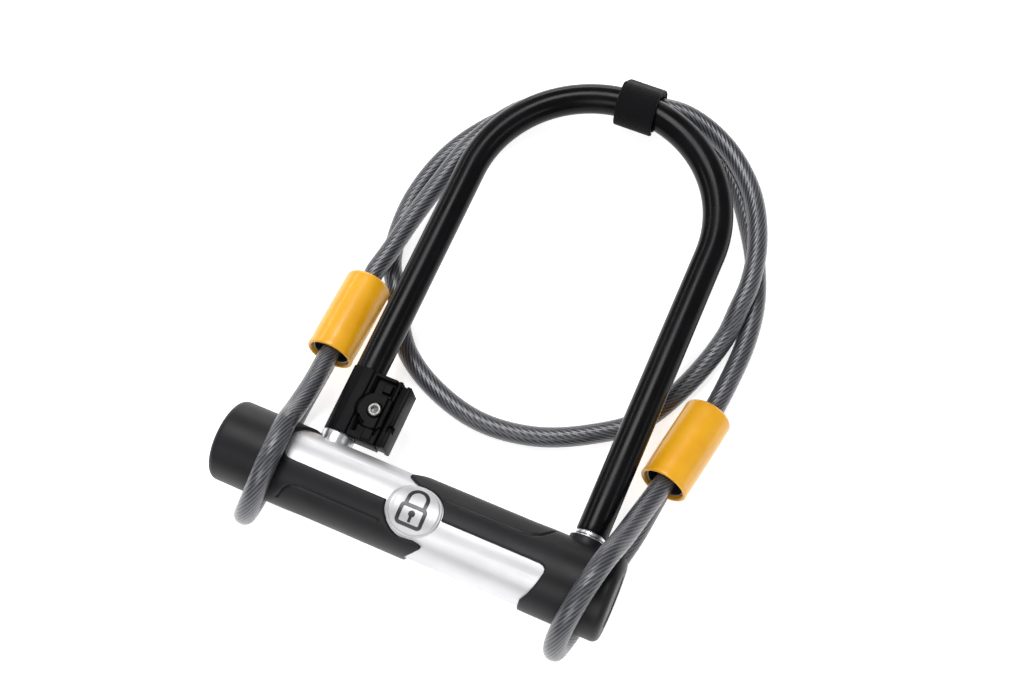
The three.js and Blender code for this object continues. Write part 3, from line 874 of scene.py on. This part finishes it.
def bent_bar(name, node, start, radius, edge, sides, material):
    path = with_fine_ends(shackle_path(start), edge)
    points, faces, uvs = swept(path, rounded_ends(path, radius, edge), sides)
    return add_piece(name, points, faces, "shackle", material, node, uvs, tidy=False)


def add_rod():
    """The bare steel bar, with the locking bar's keyhole through each foot."""
    rod = bent_bar("shackle_bar", "shackle_rod", FOOT_TIP, ROD_R, 1.2, 64, STEEL)
    slot, hole = 2.5, 4.6
    start = asin(slot / hole)
    outline = [(FOOT_TIP - 4, -slot), (FOOT_TIP - 4, slot)]
    outline += [(hole * cos(a), hole * sin(a)) for a in np.linspace(pi - start, start - pi, 40)]
    count = len(outline)
    faces = [tuple(range(count)), tuple(range(2 * count - 1, count - 1, -1))]
    faces += [(k, k + count, (k + 1) % count + count, (k + 1) % count) for k in range(count)]
    for _, x in SIDES:
        cut_away(rod, [(x + out, y, z) for out in (-9, 9) for y, z in outline], faces)


def add_shackle():
    """The vinyl coating, and the steel ring at each of its ends."""
    bent_bar("shackle_vinyl", "shackle_coating", COATING_START, COATED_R, 0.6, 72, VINYL)
    radius = COATED_R - 0.25
    for side, x in SIDES:
        node = f"{side}_foot_ring"
        low, high = low_of(node).y, high_of(node).y
        profile = [(low + 0.2, ROD_R + 0.2)] + arc((low + 0.6, radius - 0.4), 0.4, 180, 90, 4)
        profile += arc((high - 0.4, radius - 0.4), 0.4, 90, 0, 4) + [(high, ROD_R + 0.2)]
        points, faces = turned(profile, 64)
        add_piece(f"{side}_ring", upright(points, x), faces, "shackle", STEEL, node)


# ---- bracket

BRACKET_LOW = low_of("bracket_upper").y
BRACKET_HIGH = high_of("bracket_upper").y
BRACKET_R = -LEG_X - low_of("bracket_upper").x - 0.55  # the moulded skin's slack in the CAD box
PLATE_RIGHT = high_of("bracket_upper").x
PLATE_Z = 7.2
STRIP_EDGE = -61.2  # the raised strip over the leg ends at this x
BOSS_R = 9.2
LEAST_HEIGHT = 0.15
SCREW_X, SCREW_Y = middle_of("bracket_screw").xy


def step(value, edge, soft=0.35):
    """0 below an edge and 1 above it, with a short ramp between."""
    return ease((value - edge) / soft + 0.5)


def over_leg(off, radius):
    """Height of a round surface at a distance off the leg's axis, never quite down to 0."""
    return np.sqrt(np.maximum(radius**2 - off**2, LEAST_HEIGHT**2))


def inside_box(x, y, low_x, high_x, low_y, high_y):
    return step(x, low_x) * step(-x, -high_x) * step(y, low_y) * step(-y, -high_y)


def bracket_face(x, y):
    """Height of the upper half's face: a raised strip over the leg, a round boss, and pockets."""
    off = x + LEG_X
    from_screw = np.hypot(x - SCREW_X, y - SCREW_Y)
    raised = np.maximum(step(-x, -STRIP_EDGE), step(-from_screw, -BOSS_R))
    height = PLATE_Z - 0.9 + (BRACKET_R - PLATE_Z + 0.7) * raised
    height = np.minimum(height, BRACKET_R - LEAST_HEIGHT)
    height = np.where(off < 0, over_leg(off, BRACKET_R), height)
    rim = ridge(from_screw, BOSS_R, 0.5) * step(-x, 55.0) * step(y, 30.5) * step(-y, -46.5)
    height = height - 0.9 * rim
    upper = inside_box(x, y, -59.6, -48.2, 46.6, 55.2) * (1 - step(-from_screw, -8.0))
    block = inside_box(x, y, -54.2, -49.8, 49.0, 53.6)
    lower = inside_box(x, y, -60.2, -55.0, 26.2, 34.0) * (1 - step(-from_screw, -7.6))
    height = height - 3.4 * upper * (1 - 0.7 * block) - 3.0 * lower
    groove = inside_box(x, y, -48.9, -47.9, 27.5, 58.0)
    tongue = inside_box(x, y, -53.5, -48.9, 24.2, 29.6)
    height = height - 1.6 * groove + 0.7 * tongue * (1 - raised)
    seat = step(-from_screw, -3.7)
    return height * (1 - seat) + 6.75 * seat


def bracket_back(x, y):
    """Height of the lower half's face: plain, with stiffening ribs and the nut's pocket."""
    off = x + LEG_X
    height = PLATE_Z + (BRACKET_R - PLATE_Z) * step(-x, -STRIP_EDGE)
    height = np.where(off < 0, over_leg(off, BRACKET_R), height)
    ribs = sum(inside_box(x, y, -60, -47.6, low, low + 2.6) for low in (26.0, 47.5, 51.8))
    from_nut = np.hypot(x - SCREW_X, y - SCREW_Y)
    height = height - 1.4 * ribs + 1.2 * step(-from_nut, -5.9)
    seat = step(-from_nut, -4.6)
    return height * (1 - seat) + 5.05 * seat


def add_bracket_half(side, face, sign):
    low, high = (-LEG_X - BRACKET_R, BRACKET_LOW), (PLATE_RIGHT, BRACKET_HIGH)

    def inside(points):
        return np.maximum(low - points, points - high).max(axis=1)

    def place(points):
        x, y = points.T
        from_end = np.minimum(np.minimum(y - BRACKET_LOW, BRACKET_HIGH - y), PLATE_RIGHT - x)
        height = np.maximum(face(x, y) - edge_drop(from_end, 0.6), LEAST_HEIGHT)
        return np.stack([x, y, sign * height], axis=1)

    def floor(points):
        x, y = points.T
        return np.stack([x, y, sign * over_leg(x + LEG_X, COATED_R + 0.3)], axis=1)

    fine, past = 0.3, 0.05
    curved = -LEG_X - BRACKET_R * np.cos(np.linspace(0, pi / 2, 24))
    curved[0] -= past
    xs = [*curved, *np.arange(-LEG_X + fine, PLATE_RIGHT, fine), PLATE_RIGHT + past]
    ys = np.arange(BRACKET_LOW - fine / 2, BRACKET_HIGH + fine, fine)
    add_sheet(f"clamp_{side}", f"bracket_{side}", inside, xs, ys, place, floor, "bracket",
              BRACKET, sharp=40)


def bevel(obj, offset, segments):
    """Rounds an object's sharp edges off by offset millimetres."""
    work = bmesh.new()
    work.from_mesh(obj.data)
    sharp = [e for e in work.edges if e.is_manifold and e.calc_face_angle(0) > 0.6]
    bmesh.ops.bevel(work, geom=sharp, offset=offset * MM, segments=segments, profile=0.5,
                    affect="EDGES", clamp_overlap=True)
    work.to_mesh(obj.data)
    work.free()


def box_mesh(low, high):
    corners = [(x, y, z) for x in (low[0], high[0]) for y in (low[1], high[1]) for z in (low[2], high[2])]
    faces = [(0, 1, 3, 2), (4, 6, 7, 5), (0, 4, 5, 1), (2, 3, 7, 6), (0, 2, 6, 4), (1, 5, 7, 3)]
    return corners, faces


HEX_ANGLES = circle(72)


def hexagon_radius(flat):
    """Radii of a hexagon round its middle, flat being half its size across flats."""
    return flat / np.cos((HEX_ANGLES % (pi / 3)) - pi / 6)


def add_fitting(name, node, rings):
    """A piece on the screw's axis, from (z, radius) rings whose radius may vary round the ring."""
    points = np.hstack([
        (SCREW_X + radius * np.cos(HEX_ANGLES), SCREW_Y + radius * np.sin(HEX_ANGLES), z + 0 * HEX_ANGLES)
        for z, radius in rings
    ])
    add_piece(name, points.T, ring_faces(len(rings), len(HEX_ANGLES)), "bracket", SCREW_STEEL, node,
              sharp=40, slot="hardened_steel")


def add_screw():
    """A button-headed screw with a hexagon socket, and its nut in the lower half."""
    low, high = low_of("bracket_screw").z, high_of("bracket_screw").z
    socket = hexagon_radius(1.45)
    add_fitting("clamp_screw", "bracket_screw", [
        (low, 0.3), (low, 1.7), (-7.2, 2.0), (6.8, 2.0), (7.0, 3.1), (7.2, 3.3), (high - 0.5, 3.3),
        (high - 0.15, 3.1), (high, 2.75), (high, 2.2), (high - 0.25, socket),
        (high - 1.6, socket * 0.98), (high - 1.9, 0.2)])
    low, high = low_of("bracket_nut").z, high_of("bracket_nut").z
    outer = hexagon_radius(3.5)
    chamfer = np.minimum(outer, 3.65)
    add_fitting("clamp_nut", "bracket_nut", [
        (high, 2.3), (high, chamfer), (high - 0.3, outer), (low + 0.4, outer), (low, chamfer),
        (low, 2.6), (low + 0.3, 2.3), (high, 2.3)])


def add_rail():
    """The slide that fits the carrier on a bicycle's frame: a web and an upright flange."""
    low, high = low_of("bracket_rail"), high_of("bracket_rail")
    flange = high.x - 2.4
    web = 5.1
    rail = add_piece("carrier_rail", *box_mesh(low, high), "bracket", BRACKET, "bracket_rail",
                     smooth=False, tidy=False)
    cut_away(rail, *box_mesh((flange - 1, 31.6, 3.4), (high.x + 1, 34.6, 12)))
    cut_away(rail, *box_mesh((low.x - 1, low.y - 1, web), (flange, high.y + 1, 12)))
    cut_away(rail, *box_mesh((low.x - 1, low.y - 1, -12), (flange, high.y + 1, -web)))
    bevel(rail, 0.45, 3)
    rail.data.polygons.foreach_set("use_smooth", [True] * len(rail.data.polygons))
    rail.data.set_sharp_from_angle(angle=radians(40))


def add_bracket():
    add_bracket_half("upper", bracket_face, 1)
    add_bracket_half("lower", bracket_back, -1)
    add_rail()
    add_screw()


# ---- strap

STRAP_LEFT, STRAP_RIGHT = low_of("cable_strap").x, high_of("cable_strap").x
STRAP_LEAN = 0.07  # its shift to the right for each millimetre towards the crossbar
STRAP_STEPS = 260
LAP_STEPS = range(-185, 22)  # where the free end laps, counted from the side facing the crossbar
STRAPPED_CABLE = [  # (y, z) of the upper and the lower run, at both edges of the strap
    (248.3, -11.7), (253.0, -11.6), (252.2, -22.1), (255.4, -22.4),
]


def hull(points):
    """The convex outline round some (y, z) points, anticlockwise."""
    points = sorted(map(tuple, points))
    chains = []
    for order in (points, points[::-1]):
        chain = []
        for point in order:
            while len(chain) > 1:
                (ay, az), (by, bz) = chain[-2], chain[-1]
                if (by - ay) * (point[1] - az) - (bz - az) * (point[0] - ay) > 0:
                    break
                chain.pop()
            chain.append(point)
        chains.append(chain[:-1])
    return np.array(chains[0] + chains[1])


def strap_loop(margin):
    """Even points on the strap's way round the arch and both runs of cable, and their normals."""
    circles = [(ARCH_Y + sqrt(LEG_X**2 - x**2), 0, COATED_R) for x in (STRAP_LEFT, STRAP_RIGHT)]
    circles += [(y, z, CABLE_R) for y, z in STRAPPED_CABLE]
    ring = np.stack([np.cos(circle(72)), np.sin(circle(72))], axis=1)
    outline = hull(np.vstack([ring * (radius + margin) + (y, z) for y, z, radius in circles]))
    outline = np.vstack([outline, outline[:1]])
    places = np.linspace(0, run_along(outline)[-1], STRAP_STEPS, endpoint=False)
    loop = points_at(outline, places)
    tangents = np.roll(loop, -1, axis=0) - np.roll(loop, 1, axis=0)
    tangents /= norm(tangents, axis=1)[:, None]
    return loop, np.stack([tangents[:, 1], -tangents[:, 0]], axis=1)


def add_band(name, node, loop, normals, half_width, thick, closed):
    """A flat webbing band with soft edges, along a (y, z) line. Ends that are open taper off."""
    middle_x = (STRAP_LEFT + STRAP_RIGHT) / 2
    count = len(loop)
    section = [(-1, 0.12), (-1, 0.4), (-0.992, 0.75), (-0.965, 0.95), (-0.9, 1.0)]
    section += [(t, 1.0) for t in np.linspace(-0.75, 0.75, 13)]
    section += [(0.9, 1.0), (0.965, 0.95), (0.992, 0.75), (1, 0.4), (1, 0.12), (0.96, 0.0), (-0.96, 0.0)]
    points = []
    for i, (place, normal) in enumerate(zip(loop, normals)):
        from_end = 30.0 if closed else min(i, count - 1 - i) * 0.5
        narrow = 1 - 0.09 * max(0.0, 1 - from_end / 2.5) ** 2
        thin = min(1.0, 0.35 + from_end)
        wave = 0.12 * sin(i * 0.21) + 0.08 * sin(i * 0.083 + 1.0)
        for across, height in section:
            y, z = place + normal * height * thick * thin
            lean = STRAP_LEAN * (ARCH_Y + LEG_X - y)
            points.append((middle_x + lean + across * half_width * narrow + wave * across, y, z))
    size = len(section)
    faces = ring_faces(count, size, closed)
    if not closed:
        faces += [tuple(range(size)), tuple(range(count * size - 1, (count - 1) * size - 1, -1))]
    add_piece(name, points, faces, "shackle", STRAP, node)


def add_strap():
    """Two layers: the tape goes once round, and its free end laps over most of it."""
    half_width = (STRAP_RIGHT - STRAP_LEFT) / 2 - 0.25
    loop, normals = strap_loop(0.6)
    add_band("strap_loop", "cable_strap", loop, normals, half_width - 0.3, 1.5, True)
    loop, normals = strap_loop(2.2)
    start = int(np.argmin(np.abs(loop[:, 0] - loop[:, 0].min()) + np.abs(loop[:, 1] + 2.0)))
    order = [(start + k) % STRAP_STEPS for k in LAP_STEPS]
    add_band("strap_lap", None, loop[order], normals[order], half_width, 1.45, False)


# ---- ends of the crossbar


def end_sheet(name, x, sign, sunk):
    """The flat end of a cap: sunk(y, z) gives how far below the end plane each point lies."""
    radius = CAP_R - 3.2

    def inside(points):
        return np.hypot(*points.T) - radius

    def place(points):
        y, z = points.T
        return np.stack([x - sign * sunk(y, z), y, z], axis=1)

    def floor(points):
        return np.column_stack([np.full(len(points), x - sign * 0.6), points])

    grid = np.arange(-radius - 0.4, radius + 0.4, 0.3)
    add_sheet(name, None, inside, grid, grid, place, floor, "crossbar", GRIP, sharp=40)


def keyed_end(y, z):
    """The keyed end: a mouth for the shutter, and the round opening to the key plug behind it."""
    from_centre = np.hypot(y, z)
    mouth = step(-abs(y), -7.5) * step(z, -5.3) * step(-z, -14.6)
    opening = step(-from_centre, -4.8)
    return np.maximum(mouth * 3.3, opening * 9.0) + 0.35 * ridge(from_centre, 15.6, 0.3)


def plain_end(y, z):
    from_centre = np.hypot(y, z)
    rim = 0.35 * ridge(from_centre, 15.6, 0.3)
    return rim + 0.5 * step(-from_centre, -12.6) + 0.25 * ridge(from_centre, 2.4, 0.25)


def add_ends():
    end_sheet("keyed_end_face", BAR_LEFT, -1, keyed_end)
    end_sheet("plain_end_face", BAR_RIGHT, 1, plain_end)


def add_shutter():
    """The dust cover, with a thumb ridge and fine grip lines."""
    low, high = low_of("dust_cover"), high_of("dust_cover")
    face_x = low.x + 0.6
    boxes = [((face_x + 1.1, low.y, low.z), high),
             ((face_x, low.y + 2.1, low.z), (face_x + 1.2, high.y - 2.1, high.z)),
             ((low.x, -5, 2.5), (face_x + 0.2, 5, 4.0))]
    boxes += [((face_x - 0.25, -4.2, z), (face_x + 0.2, 4.2, z + 0.6)) for z in (-3.4, -1.9, -0.4, 1.1)]
    points, faces = [], []
    for box in boxes:
        corners, sides = box_mesh(*box)
        faces += [tuple(k + len(points) for k in face) for face in sides]
        points += corners
    shutter = add_piece("key_shutter", points, faces, "dust_cover", GRIP, "dust_cover",
                        smooth=False, tidy=False)
    bevel(shutter, 0.15, 2)


def finish_inner_parts():
    """The lock's working parts keep their CAD shapes and get their metals."""
    finishes = {
        STEEL: ("crossbar_tube", "left_bar_guide", "right_bar_guide", "end_block", "cylinder_pin",
                "tailpiece", "locking_bar"),
        BRASS: ("lock_cylinder", "key_plug"),
    }
    for material, nodes in finishes.items():
        for node in nodes:
            materials = bpy.data.objects[node].data.materials
            materials.clear()
            materials.append(material)


# ---- stage


def add_stage():
    """A wide pale floor under the cable, and a pale world."""
    size, z = 30.0, at(0, 0, FLOOR_Z).z
    mesh = bpy.data.meshes.new("floor")
    mesh.from_pydata([(-size, -size, z), (size, -size, z), (size, size, z), (-size, size, z)], [],
                     [(0, 1, 2, 3)])
    material, _, shader = new_material("floor_paper")
    set_inputs(shader, {
        "Base Color": (0.8, 0.8, 0.8, 1),
        "Emission Color": (1, 1, 1, 1),
        "Emission Strength": 0.72,
        "Roughness": 0.9,
        "Specular IOR Level": 0.1,
    })
    mesh.materials.append(material)
    add_object("floor", mesh)
    world = bpy.data.worlds.new("studio")
    bpy.context.scene.world = world
    world.use_nodes = True
    set_inputs(world.node_tree.nodes["Background"], {"Color": (1, 1, 1, 1), "Strength": 0.32})


def add_light(name, place, target, size, power):
    light = bpy.data.lights.new(name, "AREA")
    light.shape = "RECTANGLE"
    light.size, light.size_y = size
    light.energy = power
    obj = add_object(name, light)
    obj.location = place
    obj.rotation_euler = (Vector(target) - Vector(place)).to_track_quat("-Z", "Y").to_euler()


def add_lights():
    add_light("overhead_softbox", (-0.30, 0.30, 1.3), (0, 0, 0), (0.75, 0.45), 12.5)
    add_light("left_strip", (-1.2, 0.25, 0.6), (0, 0, 0), (1.1, 0.12), 2.8)
    add_light("right_strip", (1.1, -0.2, 0.8), (0, 0, 0), (1.1, 0.12), 2.4)
    add_light("back_panel", (-0.5, 1.3, 0.24), (0, 0.1, 0), (0.9, 0.34), 5)
    add_light("front_softbox", (0.0, -1.0, 0.9), (0, -0.1, 0), (0.9, 0.6), 6.5)


# ---- assembly

add_camera()
covers = [add_ferrule_cover("left"), add_ferrule_cover("right")]
crimps = [add_crimp("left"), add_crimp("right")]
add_cable()
add_sleeve()
add_grips()
add_badge()
add_collars()
add_rod()
add_shackle()
add_bracket()
add_strap()
add_ends()
add_shutter()
finish_inner_parts()
add_stage()
add_lights()
bpy.context.scene.view_settings.view_transform = "Standard"
